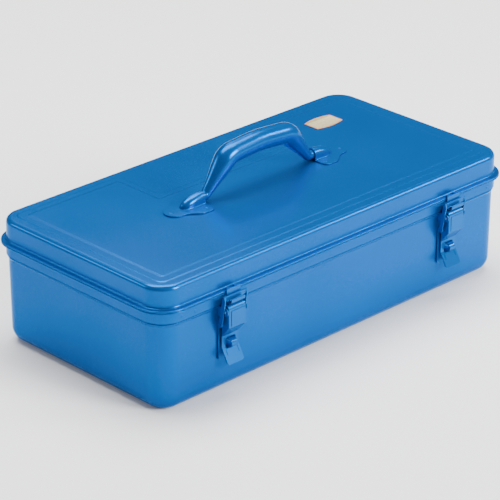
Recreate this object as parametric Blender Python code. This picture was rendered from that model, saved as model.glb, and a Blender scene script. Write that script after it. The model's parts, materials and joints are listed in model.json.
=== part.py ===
"""Pressed-steel tool box with a hinged lid, a folding handle and two draw latches.

Metres, +Z up. The origin is on the middle of the flat base. X runs along the box, the latches are at -Y
and the lid hinges at +Y.
"""

import math

import bmesh
import bpy
from mathutils import Vector

MM = 0.001

# Overall size, over the lid's side walls and up to the rim of the lid's top.
LENGTH = 380 * MM
WIDTH = 188 * MM
HEIGHT = 105.2 * MM
CORNER_RADIUS = 19.5 * MM

# Sheet and clearances
SHEET = 0.8 * MM
STRAP = 1.1 * MM
SEAT_GAP = 0.3 * MM
PIN_GAP = 0.3 * MM
SIDE_GAP = 0.5 * MM

# Lid
LID_DEPTH = 19.6 * MM
LID_FILLET = 4.2 * MM
HEM_REACH = 4.4 * MM
HEM_THICKNESS = 1.6 * MM
HEM_ROOT = 1.2 * MM
PANEL_STEP = 0.45 * MM
OUTER_LINE_INSET = 10.3 * MM
INNER_LINE_INSET = 17.6 * MM
RECESS_HALF_WIDTH = 72.5 * MM
RECESS_FRONT = 35 * MM
LINE_SPACING = 6.5 * MM

# Body
BODY_INSET = 1.2 * MM
BODY_DRAFT = 0.6 * MM
BASE_FILLET = 12.2 * MM
OGEE_HEIGHT = 3.4 * MM
BAND_HEIGHT = 9.6 * MM
BAND_PROUD = 0.6 * MM
UPSTAND = 4.6 * MM
UPSTAND_STEP = 1.9 * MM
FLANGE_BEND = 1.2 * MM

# Lid hinges
HINGE_X = 122 * MM
HINGE_LENGTH = 44 * MM
HINGE_PIN_RADIUS = 1.5 * MM
HINGE_SHEET = 1.0 * MM
HINGE_BODY_LEAF = 15 * MM
HINGE_LID_LEAF = 8.6 * MM
HINGE_JOG = 2.4 * MM
HINGE_EASE = 0.6 * MM
KNUCKLES = 5

# Handle
HANDLE_AXIS_RISE = 6.1 * MM
HANDLE_RISE = 30.3 * MM
HANDLE_LEG_FOOT = 56.5 * MM
HANDLE_SHOULDER = 32.5 * MM
HANDLE_ARCH = 2.6 * MM
GRIP_RADIUS = 8.8 * MM
LEG_RADIUS = 4.2 * MM
STUB_RADIUS = 3.9 * MM
HANDLE_SHEET = 1.2 * MM
HANDLE_SEAM = 1.0 * MM
STUB_END = 75.5 * MM
FOOT_BEND = 5 * MM
SHOULDER_BEND = 14 * MM
ARCH_BEND = 120 * MM
RUN_SPACING = 6 * MM

# Handle brackets
BRACKET_START = 61 * MM
BRACKET_END = 98 * MM
DOME_END = 82.5 * MM
BRACKET_HALF_WIDTH = 17.5 * MM
LOBE_RADIUS = 9 * MM
MOUTH_CORNER = 5 * MM
FLANGE_CORNER = 6 * MM
BRACKET_SHEET = 0.8 * MM
DOME_TIP_SHARE = 0.35

# Draw latches, with heights measured down from the parting line between lid and body
LATCH_X = 122 * MM
PIN_DROP = 14.3 * MM
PIN_OUT = 6.9 * MM
LATCH_PIN_RADIUS = 1.5 * MM
LEVER_HALF_WIDTH = 8.7 * MM
LEVER_SHEET = 1.2 * MM
CURL_RADIUS = 2.7 * MM
LEVER_PLATE_OUT = 1.5 * MM
HOOD_DROP = 14.2 * MM
PLATE_TOP_DROP = 23 * MM
PLATE_BOTTOM_DROP = 32.3 * MM
TAB_DROP = 44.4 * MM
TAB_REACH = 6.9 * MM
LEVER_BEND = 2.4 * MM
CHEEK_DROP = 4.6 * MM
CHEEK_FOOT_SHARE = 0.85
CHEEK_RADIUS = 2.2 * MM
EAR_GAP = 0.5 * MM
EAR_SHEET = 1.0 * MM
EAR_RADIUS = 3.3 * MM
EAR_HEIGHT = 8.5 * MM
EAR_TOP_INSET = 0.2 * MM
BAIL_GAP = 0.4 * MM
BAIL_SHEET = 1.2 * MM
BAIL_DEPTH = 3.0 * MM
BAIL_PIVOT_DROP = 11.5 * MM
BAIL_PIVOT_IN = 3.5 * MM
BAIL_STUB_RADIUS = 1.2 * MM
CROSS_DROP = 1.2 * MM
CROSS_HEIGHT = 3.6 * MM
BASE_MARGIN = 0.2 * MM
BASE_SHEET = 1.0 * MM
BASE_HEIGHT = 43.2 * MM
EYE_HALF_WIDTH = 3.0 * MM
EYE_RADIUS = 3.6 * MM
EYE_DROP = 43.3 * MM
EYE_OUT = 3.5 * MM
SLOT_HALF_WIDTH = 5.0 * MM
SLOT_CLEARANCE = 0.9 * MM
KEEPER_HALF_WIDTH = 7.0 * MM
KEEPER_LIP_DROP = 3.8 * MM
KEEPER_FLOOR_DROP = 7.6 * MM
HOOK_WIDTH = 4.1 * MM
CLAW_HALF_WIDTH = 1.6 * MM
CLAW_OFFSET = 4.0 * MM

# Label
LABEL_X = 125.6 * MM
LABEL_Y = 49 * MM
LABEL_LENGTH = 30 * MM
LABEL_WIDTH = 16 * MM
LABEL_BOW = 2.2 * MM
LABEL_THICKNESS = 0.3 * MM

# Derived heights and faces
PARTING = HEIGHT - LID_DEPTH
HEM_BOTTOM = PARTING + SEAT_GAP / 2
HEM_TOP = HEM_BOTTOM + HEM_THICKNESS
FLANGE_TOP = PARTING - SEAT_GAP / 2
BAND_BOTTOM = PARTING - BAND_HEIGHT - SHEET
OGEE_BOTTOM = BAND_BOTTOM - OGEE_HEIGHT
PANEL_TOP = HEIGHT + 2 * PANEL_STEP
FRONT = -WIDTH / 2
BACK = WIDTH / 2
WALL_FRONT = FRONT + BODY_INSET
RING_FRONT = FRONT - HEM_REACH
RING_BACK = BACK + HEM_REACH

HINGE_KNUCKLE_RADIUS = HINGE_PIN_RADIUS + PIN_GAP + HINGE_SHEET
HINGE_AXIS = Vector((0, RING_BACK + SIDE_GAP + HINGE_KNUCKLE_RADIUS, PARTING))
HANDLE_AXIS = Vector((0, 0, HEIGHT + HANDLE_AXIS_RISE))
LATCH_PIN = Vector((0, FRONT - PIN_OUT, PARTING - PIN_DROP))
BAIL_PIVOT = LATCH_PIN + Vector((0, BAIL_PIVOT_IN, -BAIL_PIVOT_DROP))
EAR_INNER = LEVER_HALF_WIDTH + EAR_GAP
EAR_OUTER = EAR_INNER + EAR_SHEET
BASE_HALF_WIDTH = EAR_OUTER + BASE_MARGIN
BAIL_INNER = EAR_OUTER + BAIL_GAP
BAIL_OUTER = BAIL_INNER + BAIL_SHEET
CROSS_MIDDLE = RING_FRONT - SEAT_GAP - STRAP - HOOK_WIDTH / 2 + BAIL_SHEET / 2
BASE_BACK = WALL_FRONT - SEAT_GAP
BASE_FRONT = BASE_BACK - BASE_SHEET
BASE_TOP = OGEE_BOTTOM + 0.4 * MM

BLUE = (0.004, 0.205, 0.44, 1)
CREAM = (0.72, 0.60, 0.36, 1)

CORNER_STEPS = 7
ARC_STEPS = 6


# ---- plane geometry -------------------------------------------------------------------------------

def arc(centre, radius, start, end, steps=ARC_STEPS):
    """Points on a circle from one angle to another, in degrees."""
    angles = [math.radians(start + (end - start) * i / steps) for i in range(steps + 1)]
    return [(centre[0] + radius * math.cos(a), centre[1] + radius * math.sin(a)) for a in angles]


def circle(centre, radius, steps):
    return arc(centre, radius, 0, 360 - 360 / steps, steps - 1)


def parallel(path, distance):
    """The open path moved sideways to its left, with mitred corners."""
    moved = []
    for i, point in enumerate(path):
        normals = []
        for a, b in ((i - 1, i), (i, i + 1)):
            if a >= 0 and b < len(path):
                dx = path[b][0] - path[a][0]
                dy = path[b][1] - path[a][1]
                length = math.hypot(dx, dy)
                normals.append((-dy / length, dx / length))
        nx = sum(n[0] for n in normals) / len(normals)
        ny = sum(n[1] for n in normals) / len(normals)
        square = nx * nx + ny * ny
        moved.append((point[0] + distance * nx / square, point[1] + distance * ny / square))
    return moved


def strip(path, thickness):
    """The outline of a sheet whose middle follows the path."""
    return parallel(path, thickness / 2) + parallel(path, -thickness / 2)[::-1]


def rounded(corners, radius, steps=ARC_STEPS):
    """A closed outline with each corner replaced by an arc of up to that radius."""
    outline = []
    count = len(corners)
    for i, corner in enumerate(corners):
        here = Vector(corner)
        before = (Vector(corners[i - 1]) - here).normalized()
        after = (Vector(corners[(i + 1) % count]) - here).normalized()
        half = before.angle(after) / 2
        reach = radius / math.tan(half)
        centre = here + (before + after).normalized() * radius / math.sin(half)
        start = here + before * reach - centre
        end = here + after * reach - centre
        turn = start.angle_signed(end)
        for k in range(steps + 1):
            a = -turn * k / steps
            spun = Vector((
                start.x * math.cos(a) - start.y * math.sin(a),
                start.x * math.sin(a) + start.y * math.cos(a),
            ))
            outline.append(tuple(centre + spun))
    return outline


def bend_points(before, corner, after, radius, steps=5):
    """An arc that rounds one corner of a path."""
    here = Vector(corner)
    back = (Vector(before) - here).normalized()
    ahead = (Vector(after) - here).normalized()
    half = back.angle(ahead) / 2
    centre = here + (back + ahead).normalized() * radius / math.sin(half)
    start = here + back * radius / math.tan(half) - centre
    turn = -start.angle_signed(here + ahead * radius / math.tan(half) - centre)
    points = []
    for k in range(steps + 1):
        a = turn * k / steps
        x = start.x * math.cos(a) - start.y * math.sin(a)
        y = start.x * math.sin(a) + start.y * math.cos(a)
        points.append((centre.x + x, centre.y + y))
    return points


def box_ring(offset, z):
    """The box's plan outline, moved outwards by an offset, at one height."""
    half_x = LENGTH / 2 + offset
    half_y = WIDTH / 2 + offset
    radius = CORNER_RADIUS + offset
    ring = []
    for corner, (sx, sy) in enumerate(((1, 1), (-1, 1), (-1, -1), (1, -1))):
        centre = (sx * (half_x - radius), sy * (half_y - radius))
        ring += [(x, y, z) for x, y in arc(centre, radius, 90 * corner, 90 * corner + 90, CORNER_STEPS)]
    return ring


# ---- solids ---------------------------------------------------------------------------------------

def loft(rings, closed=False):
    """A solid through rings of equal count: capped at both ends, or joined end to end."""
    mesh = bmesh.new()
    rows = [[mesh.verts.new(point) for point in ring] for ring in rings]
    count = len(rows[0])
    pairs = list(zip(rows, rows[1:]))
    if closed:
        pairs.append((rows[-1], rows[0]))
    else:
        mesh.faces.new(rows[0][::-1])
        mesh.faces.new(rows[-1])
    for low, high in pairs:
        for i in range(count):
            j = (i + 1) % count
            mesh.faces.new((low[i], low[j], high[j], high[i]))
    bmesh.ops.recalc_face_normals(mesh, faces=mesh.faces)
    return mesh


def along_x(outline, low, high):
    """A solid with an outline in the YZ plane, from one X to another."""
    return loft([[(x, y, z) for y, z in outline] for x in (low, high)])


def upright(outline, low, high):
    """A solid with an outline in the XY plane, from one height to another."""
    return loft([[(x, y, z) for x, y in outline] for z in (low, high)])


def block(low, high):
    outline = [(low[0], low[1]), (high[0], low[1]), (high[0], high[1]), (low[0], high[1])]
    return upright(outline, low[2], high[2])


def material(name, colour, roughness, metallic):
    found = bpy.data.materials.get(name)
    if found:
        return found
    made = bpy.data.materials.new(name)
    made.use_nodes = True
    shader = made.node_tree.nodes["Principled BSDF"]
    shader.inputs["Base Color"].default_value = colour
    shader.inputs["Roughness"].default_value = roughness
    shader.inputs["Metallic"].default_value = metallic
    return made


def frame_empty(name, place, parent=None):
    """An empty on a body's joint axis, which its pieces are parented to."""
    empty = bpy.data.objects.new(name, None)
    empty.empty_display_size = 0.02
    bpy.context.collection.objects.link(empty)
    empty.parent = parent
    empty.location = place - world_place(parent)
    return empty


def world_place(obj):
    """The world location of an unrotated object."""
    place = Vector((0, 0, 0))
    while obj is not None:
        place += obj.location
        obj = obj.parent
    return place


def solid(name, mesh, frame, shift=0.0):
    """An object from a mesh built in world space, moved along X, with its origin at its frame."""
    bmesh.ops.translate(mesh, verts=mesh.verts, vec=Vector((shift, 0, 0)) - world_place(frame))
    data = bpy.data.meshes.new(name)
    mesh.to_mesh(data)
    mesh.free()
    data.shade_smooth()
    data.set_sharp_from_angle(angle=math.radians(35))
    made = bpy.data.objects.new(name, data)
    bpy.context.collection.objects.link(made)
    made.parent = frame
    return made


def piece(name, mesh, frame, shift=0.0):
    """A blue painted sub-part."""
    made = solid(name, mesh, frame, shift)
    made.data.materials.append(material("blue_enamel", BLUE, 0.38, 0.55))
    return made


def combine(target, mesh, operation, shift=0.0):
    """Joins a hidden helper solid to a sub-part, or cuts it from the sub-part."""
    helper_name = f"{target.name}_{operation.lower()}_{len(target.modifiers)}"
    helper = solid(helper_name, mesh, target.parent, shift)
    helper.hide_render = True
    helper.display_type = "WIRE"
    boolean = target.modifiers.new(helper_name, "BOOLEAN")
    boolean.operation = operation
    boolean.solver = "EXACT"
    boolean.object = helper


# ---- body and rim ---------------------------------------------------------------------------------

def body_skin():
    """The body's outer section from the base's edge up to the top of the upstand: offset and height."""
    foot = -BODY_INSET - BODY_DRAFT
    behind_band = BAND_PROUD - SHEET - SEAT_GAP
    upstand = -SHEET - SIDE_GAP
    skin = arc((foot - BASE_FILLET, BASE_FILLET), BASE_FILLET, -90, 0)
    skin += [(-BODY_INSET, OGEE_BOTTOM), (behind_band, BAND_BOTTOM - SHEET)]
    skin += [(behind_band, FLANGE_TOP - UPSTAND_STEP), (upstand, FLANGE_TOP)]
    skin += [(upstand, PARTING + UPSTAND)]
    return skin


def body_shell(frame):
    """The drawn tray: flat base, filleted walls, a shallow ogee and an upstand inside the lid."""
    skin = body_skin()
    lining = parallel(skin, SHEET)
    rings = [box_ring(offset, z) for offset, z in skin]
    rings += [box_ring(offset, z) for offset, z in reversed(lining)]
    return piece("body_shell", loft(rings), frame)


def rim_frame(frame):
    """The strip round the top of the body: a vertical band with a flange that the lid's hem sits on."""
    bend = FLANGE_BEND
    middle = BAND_PROUD - SHEET / 2
    path = [(middle, BAND_BOTTOM)]
    path += arc((middle + bend, FLANGE_TOP - SHEET / 2 - bend), bend, 180, 90, 4)
    path += [(HEM_REACH, FLANGE_TOP - SHEET / 2)]
    section = strip(path, SHEET)
    return piece("rim_frame", loft([box_ring(offset, z) for offset, z in section], closed=True), frame)


# ---- lid ------------------------------------------------------------------------------------------

def lid_section():
    """The lid's section from the middle of its top, down the wall, round the hem and back up inside."""
    outer = arc((-LID_FILLET, HEIGHT - LID_FILLET), LID_FILLET, 90, 0)
    outer += arc((HEM_ROOT, HEM_TOP + HEM_ROOT), HEM_ROOT, 180, 270, 4)
    edge = HEM_THICKNESS / 2
    hem = arc((HEM_REACH - edge, HEM_BOTTOM + edge), edge, 90, -90)
    inner_radius = LID_FILLET - SHEET
    inner = [(-SHEET, HEM_BOTTOM)]
    inner += arc((-LID_FILLET, HEIGHT - LID_FILLET), inner_radius, 0, 90)
    return outer + hem + inner


def panel_outline(inset, recess_growth, radius):
    """A raised outline on the lid's top, which steps round the flat recess at the back."""
    x = LENGTH / 2 - inset
    y = WIDTH / 2 - inset
    recess_x = RECESS_HALF_WIDTH + recess_growth
    recess_y = RECESS_FRONT - recess_growth
    corners = [(-x, -y), (x, -y), (x, y), (recess_x, y)]
    corners += [(recess_x, recess_y), (-recess_x, recess_y), (-recess_x, y), (-x, y)]
    return rounded(corners, radius, 4)


def lid_shell(frame):
    """The drawn lid, with a rolled hem and two small steps up to the panel that carries the handle."""
    rings = [box_ring(offset, z) for offset, z in lid_section()]
    lid = piece("lid_shell", loft(rings), frame)
    under = HEIGHT - SHEET / 2
    lower = panel_outline(OUTER_LINE_INSET, 0, 6 * MM)
    upper = panel_outline(INNER_LINE_INSET, LINE_SPACING, 4 * MM)
    combine(lid, upright(lower, under, HEIGHT + PANEL_STEP), "UNION")
    combine(lid, upright(upper, under, PANEL_TOP), "UNION")
    return lid


def label(frame):
    """The small foil label, straight at its ends and bowed along its long sides."""
    half = LABEL_LENGTH / 2
    sides = []
    for direction in (-1, 1):
        for i in range(9):
            t = -1 + i / 4
            bow = LABEL_WIDTH / 2 + LABEL_BOW * (1 - t * t)
            sides.append((LABEL_X - direction * half * t, LABEL_Y + direction * bow))
    bottom = PANEL_TOP + SEAT_GAP
    made = solid("label", upright(sides, bottom, bottom + LABEL_THICKNESS), frame)
    made.data.materials.append(material("label_foil", CREAM, 0.35, 0.3))
    return made


# ---- lid hinges -----------------------------------------------------------------------------------

def hinge_outline(side):
    """A hinge leaf's section in the YZ plane; side is 1 for the lid's leaf and -1 for the body's."""
    axis_y = HINGE_AXIS.y
    axis_z = HINGE_AXIS.z
    roll = HINGE_KNUCKLE_RADIUS - HINGE_SHEET / 2
    wall = BACK + SEAT_GAP + HINGE_SHEET / 2
    wall += BAND_PROUD if side < 0 else 0
    clear = HEM_THICKNESS + SIDE_GAP + HINGE_SHEET / 2
    shoulder = axis_z + side * (clear + SEAT_GAP)
    leaf = HINGE_BODY_LEAF if side < 0 else HINGE_LID_LEAF
    path = [(wall, shoulder + side * (leaf + HINGE_JOG)), (wall, shoulder + side * HINGE_JOG)]
    path += [(wall + HINGE_JOG / 2, shoulder + side * HINGE_EASE)]
    path += [(axis_y - roll - HINGE_EASE, shoulder), (axis_y - roll, shoulder - side * HINGE_EASE)]
    path += arc((axis_y, axis_z), roll, 180, 180 + side * 300, 10)
    return strip(path, HINGE_SHEET)


def hinge_leaf(name, frame, centre_x, side):
    """A leaf with rolled knuckles: the odd ones on the body's leaf, the even ones on the lid's."""
    half = HINGE_LENGTH / 2
    leaf = piece(name, along_x(hinge_outline(side), centre_x - half, centre_x + half), frame)
    pitch = HINGE_LENGTH / KNUCKLES
    inner = RING_BACK + SIDE_GAP / 2
    for i in range(KNUCKLES):
        if (i % 2 == 0) == (side < 0):
            continue
        low = centre_x - half + i * pitch - (SEAT_GAP if i else HINGE_SHEET)
        high = centre_x - half + (i + 1) * pitch + (SEAT_GAP if i < KNUCKLES - 1 else HINGE_SHEET)
        reach = HINGE_KNUCKLE_RADIUS + HINGE_BODY_LEAF
        cutter = block(
            (low, inner, HINGE_AXIS.z - reach),
            (high, HINGE_AXIS.y + reach, HINGE_AXIS.z + reach),
        )
        combine(leaf, cutter, "DIFFERENCE")
    return leaf


def hinge_pin(name, frame, centre_x):
    half = HINGE_LENGTH / 2 + 0.6 * MM
    outline = circle((HINGE_AXIS.y, HINGE_AXIS.z), HINGE_PIN_RADIUS, 16)
    return piece(name, along_x(outline, centre_x - half, centre_x + half), frame)


# ---- handle ---------------------------------------------------------------------------------------

def handle_path():
    """Points along the handle's middle line in the XZ plane, and the tube's radius at each."""
    axis_z = HANDLE_AXIS.z
    top = axis_z + HANDLE_RISE
    shoulder_z = top - HANDLE_ARCH
    corners = [(-STUB_END, axis_z), (-HANDLE_LEG_FOOT, axis_z), (-HANDLE_SHOULDER, shoulder_z)]
    corners += [(0, top), (HANDLE_SHOULDER, shoulder_z), (HANDLE_LEG_FOOT, axis_z)]
    corners += [(STUB_END, axis_z)]
    path = [corners[0], (-HANDLE_LEG_FOOT - FOOT_BEND, axis_z)]
    for i, radius in enumerate((FOOT_BEND, SHOULDER_BEND, ARCH_BEND, SHOULDER_BEND, FOOT_BEND)):
        path += bend_points(*corners[i:i + 3], radius)
    path += [(HANDLE_LEG_FOOT + FOOT_BEND, axis_z), corners[-1]]
    dense = fill_in(path, RUN_SPACING)
    return dense, [tube_radius(x, z - axis_z) for x, z in dense]


def fill_in(path, spacing):
    """The path with more points on its long straight runs."""
    dense = [path[0]]
    for a, b in zip(path, path[1:]):
        parts = max(1, round(math.dist(a, b) / spacing))
        for k in range(1, parts + 1):
            share = k / parts
            dense.append((a[0] + (b[0] - a[0]) * share, a[1] + (b[1] - a[1]) * share))
    return dense


def tube_radius(x, rise):
    """The grip's radius at the top, easing down the legs to the stubs."""
    if abs(x) > HANDLE_LEG_FOOT + FOOT_BEND / 3:
        return STUB_RADIUS
    full = HANDLE_RISE - HANDLE_ARCH - LEG_RADIUS
    share = min(1, max(0, rise / full))
    ease = share * share * (3 - 2 * share)
    return LEG_RADIUS + (GRIP_RADIUS - LEG_RADIUS) * (0.35 * share + 0.65 * ease)


def handle(frame):
    """The bail handle, rolled from sheet, with its seam along the underside."""
    path, radii = handle_path()
    rings = []
    for i, (x, z) in enumerate(path):
        before = path[max(i - 1, 0)]
        after = path[min(i + 1, len(path) - 1)]
        along = Vector((after[0] - before[0], 0, after[1] - before[1])).normalized()
        out = Vector((-along.z, 0, along.x))
        seam = math.degrees(HANDLE_SEAM / 2 / radii[i])
        inner = radii[i] - HANDLE_SHEET
        section = arc((0, 0), radii[i], -90 + seam, 270 - seam, 15)
        section += arc((0, 0), inner, 270 - seam, -90 + seam, 15)
        rings.append([Vector((x, 0, z)) + Vector((0, u, 0)) + out * v for u, v in section])
    return piece("handle", loft(rings), frame)


def bracket_outline(side):
    """The bracket flange in plan: wide beside the dome, with a rounded lobe at its outer end."""
    mouth = MOUTH_CORNER
    corner = FLANGE_CORNER
    half = BRACKET_HALF_WIDTH
    edge = arc((BRACKET_START + mouth, -half + mouth), mouth, 180, 270, 4)
    edge += arc((DOME_END - corner, -half + corner), corner, -90, -35, 3)
    edge += arc((BRACKET_END - LOBE_RADIUS, 0), LOBE_RADIUS, -80, 0, 5)
    outline = edge + [(x, -y) for x, y in edge[-2::-1]]
    if side < 0:
        outline = [(-x, y) for x, y in reversed(outline)]
    return outline


def dome_rings(side, half_width, crown, tip, foot):
    """Arched sections along a dome that is open towards the handle and rounded at its outer end."""
    straight = tip - half_width
    stations = [(BRACKET_START, 1.0), (straight, 1.0)]
    for degrees in (30, 55, 75, 88):
        a = math.radians(degrees)
        stations.append((straight + half_width * math.sin(a), math.cos(a)))
    rings = []
    for x, scale in stations:
        half = half_width * scale
        top = foot + (crown - foot) * (DOME_TIP_SHARE + (1 - DOME_TIP_SHARE) * scale)
        arch = arc((0, top - half), half, 0, 180, 8)
        rings.append([(side * x, y, z) for y, z in [(half, foot)] + arch + [(-half, foot)]])
    return rings


def handle_bracket(name, frame, side):
    """A pressed bracket spot-welded to the lid, whose dome is the bearing for the handle's stub."""
    low = PANEL_TOP + SEAT_GAP
    high = low + BRACKET_SHEET
    inner = STUB_RADIUS + PIN_GAP
    outer = inner + BRACKET_SHEET
    axis_z = HANDLE_AXIS.z
    bracket = piece(name, upright(bracket_outline(side), low, high), frame)
    shell = dome_rings(side, outer, axis_z + outer, DOME_END, low + BRACKET_SHEET / 3)
    hollow = dome_rings(side, inner, axis_z + inner, DOME_END - BRACKET_SHEET, low - MM)
    hollow[0] = [(x - side * MM, y, z) for x, y, z in hollow[0]]
    combine(bracket, loft(shell), "UNION")
    combine(bracket, loft(hollow), "DIFFERENCE")
    return bracket


# ---- draw latches ---------------------------------------------------------------------------------

def latch_base(name, frame, shift):
    """The plate on the body's wall, with two ears for the lever's pin and an eye for a padlock."""
    low = BASE_TOP - BASE_HEIGHT
    base = piece(name, block(
        (-BASE_HALF_WIDTH, BASE_FRONT, low),
        (BASE_HALF_WIDTH, BASE_BACK, BASE_TOP),
    ), frame, shift)
    pin = (LATCH_PIN.y, LATCH_PIN.z)
    inside = BASE_FRONT + BASE_SHEET / 2
    ear = [(inside, BASE_TOP - EAR_TOP_INSET), (inside, BASE_TOP - EAR_HEIGHT)]
    ear += arc(pin, EAR_RADIUS, 250, 65, 8)
    for side in (-1, 1):
        ends = sorted((side * EAR_INNER, side * EAR_OUTER))
        combine(base, along_x(ear, *ends), "UNION", shift)
    hole = circle(pin, LATCH_PIN_RADIUS + PIN_GAP, 16)
    combine(base, along_x(hole, -EAR_OUTER - MM, EAR_OUTER + MM), "DIFFERENCE", shift)
    middle = EYE_RADIUS - BASE_SHEET / 2
    eye = (FRONT - EYE_OUT, PARTING - EYE_DROP)
    loop = [(inside, eye[1] - middle)] + arc(eye, middle, 270, 90, 8) + [(inside, eye[1] + middle)]
    loop_mesh = along_x(strip(loop, BASE_SHEET), -EYE_HALF_WIDTH, EYE_HALF_WIDTH)
    combine(base, loop_mesh, "UNION", shift)
    return base


def latch_pin(name, frame, shift):
    half = EAR_OUTER + BAIL_GAP / 4
    outline = circle((LATCH_PIN.y, LATCH_PIN.z), LATCH_PIN_RADIUS, 16)
    return piece(name, along_x(outline, -half, half), frame, shift)


def lever_corners():
    """Corners of the lever's middle line in the YZ plane, from the pin's height down to the tab's tip."""
    front = LATCH_PIN.y - CURL_RADIUS
    plate = FRONT - LEVER_PLATE_OUT
    top = LATCH_PIN.z
    corners = [(front, top), (front, top - HOOD_DROP), (plate, top - PLATE_TOP_DROP)]
    return corners + [(plate, top - PLATE_BOTTOM_DROP), (plate - TAB_REACH, top - TAB_DROP)]


def lever_path():
    """The lever's middle line in the YZ plane: curl, hood, slope, plate and finger tab."""
    corners = lever_corners()
    path = arc((LATCH_PIN.y, LATCH_PIN.z), CURL_RADIUS, -60, 180, 12)
    for i in range(len(corners) - 2):
        path += bend_points(*corners[i:i + 3], LEVER_BEND, 3)
    return path + corners[-1:]


def latch_lever(name, frame, shift):
    """The lever: one bent plate with side cheeks, a slot over the padlock eye and a flared finger tab."""
    outline = strip(lever_path(), LEVER_SHEET)
    lever = piece(name, along_x(outline, -LEVER_HALF_WIDTH, LEVER_HALF_WIDTH), frame, shift)
    pivot = (BAIL_PIVOT.y, BAIL_PIVOT.z)
    hood = Vector(lever_corners()[1])
    slope_foot = Vector(lever_corners()[2])
    cheek_top = LATCH_PIN.z - CHEEK_DROP
    cheek = [(hood.x, cheek_top), tuple(hood), tuple(hood.lerp(slope_foot, CHEEK_FOOT_SHARE))]
    cheek += arc(pivot, CHEEK_RADIUS, -50, 60, 4)
    cheek += [(LATCH_PIN.y + CHEEK_RADIUS, cheek_top)]
    for side in (-1, 1):
        ends = sorted((side * (LEVER_HALF_WIDTH - LEVER_SHEET), side * LEVER_HALF_WIDTH))
        combine(lever, along_x(cheek, *ends), "UNION", shift)
    hole = circle(pivot, BAIL_STUB_RADIUS + PIN_GAP, 12)
    combine(lever, along_x(hole, -EAR_OUTER, EAR_OUTER), "DIFFERENCE", shift)
    eye_z = PARTING - EYE_DROP
    slot_half = EYE_RADIUS + SLOT_CLEARANCE
    slot = block(
        (-SLOT_HALF_WIDTH, FRONT - 2 * EYE_RADIUS, eye_z - slot_half),
        (SLOT_HALF_WIDTH, FRONT, eye_z + slot_half),
    )
    combine(lever, slot, "DIFFERENCE", shift)
    return lever


def latch_bail(name, frame, shift):
    """The draw loop: a cross strip that stands in the keeper's hook, two arms, and stubs in the lever."""
    top = PARTING - CROSS_DROP
    bottom = top - CROSS_HEIGHT
    front = CROSS_MIDDLE - BAIL_SHEET / 2
    back = CROSS_MIDDLE + BAIL_SHEET / 2
    cross = [(front, bottom), (back, bottom), (back, top), (front, top)]
    bail = piece(name, along_x(cross, -BAIL_OUTER, BAIL_OUTER), frame, shift)
    pivot = (BAIL_PIVOT.y, BAIL_PIVOT.z)
    arm_half = BAIL_DEPTH / 2
    arm = [(CROSS_MIDDLE - arm_half, top - arm_half)]
    arm += arc(pivot, arm_half + 0.2 * MM, 200, 380, 8)
    arm += [(CROSS_MIDDLE + arm_half, top - arm_half), (back, top), (front, top)]
    for side in (-1, 1):
        ends = sorted((side * BAIL_INNER, side * BAIL_OUTER))
        combine(bail, along_x(arm, *ends), "UNION", shift)
        stub = circle(pivot, BAIL_STUB_RADIUS, 12)
        inner = LEVER_HALF_WIDTH - LEVER_SHEET - PIN_GAP
        ends = sorted((side * inner, side * (BAIL_INNER + BAIL_SHEET / 2)))
        combine(bail, along_x(stub, *ends), "UNION", shift)
    return bail


def latch_keeper(name, frame, shift):
    """The hook on the lid's hem: a plate with a turned-up lip, held by two claws over the hem."""
    plate = RING_FRONT - SEAT_GAP - STRAP / 2
    radius = (HOOK_WIDTH + STRAP) / 2
    lip = plate - 2 * radius
    floor = PARTING - KEEPER_FLOOR_DROP + radius
    path = [(plate, HEM_TOP + SEAT_GAP + STRAP)] + arc((plate - radius, floor), radius, 0, -180, 8)
    path += [(lip, PARTING - KEEPER_LIP_DROP)]
    keeper = piece(name, along_x(strip(path, STRAP), -KEEPER_HALF_WIDTH, KEEPER_HALF_WIDTH), frame, shift)
    for side in (-1, 1):
        centre = side * CLAW_OFFSET
        claw = block(
            (centre - CLAW_HALF_WIDTH, plate, HEM_TOP + SEAT_GAP),
            (centre + CLAW_HALF_WIDTH, FRONT - HEM_ROOT - SEAT_GAP, HEM_TOP + SEAT_GAP + STRAP * 0.9),
        )
        combine(keeper, claw, "UNION", shift)
    return keeper


# ---- assembly -------------------------------------------------------------------------------------

def clear_scene():
    for obj in list(bpy.data.objects):
        bpy.data.objects.remove(obj, do_unlink=True)


def build_latch(side_name, side, lid_frame):
    shift = side * LATCH_X
    latch_base(f"{side_name}_latch_base", None, shift)
    latch_pin(f"{side_name}_latch_pin", None, shift)
    lever_frame = frame_empty(f"{side_name}_lever_axis", LATCH_PIN + Vector((shift, 0, 0)))
    latch_lever(f"{side_name}_latch_lever", lever_frame, shift)
    bail_frame = frame_empty(f"{side_name}_bail_axis", BAIL_PIVOT + Vector((shift, 0, 0)), lever_frame)
    latch_bail(f"{side_name}_latch_bail", bail_frame, shift)
    latch_keeper(f"{side_name}_latch_keeper", lid_frame, shift)


def build():
    clear_scene()
    body_shell(None)
    rim_frame(None)
    lid_frame = frame_empty("lid_axis", HINGE_AXIS)
    lid_shell(lid_frame)
    label(lid_frame)
    handle_frame = frame_empty("handle_axis", HANDLE_AXIS, lid_frame)
    handle(handle_frame)
    for side_name, side in (("left", -1), ("right", 1)):
        handle_bracket(f"{side_name}_handle_bracket", lid_frame, side)
        hinge_leaf(f"{side_name}_hinge_body_leaf", None, side * HINGE_X, -1)
        hinge_leaf(f"{side_name}_hinge_lid_leaf", lid_frame, side * HINGE_X, 1)
        hinge_pin(f"{side_name}_hinge_pin", None, side * HINGE_X)
        build_latch(side_name, side, lid_frame)


build()
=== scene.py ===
import json
import math

import bmesh
import bpy
from mathutils import Matrix, Vector
from mathutils.geometry import tessellate_polygon


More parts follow.
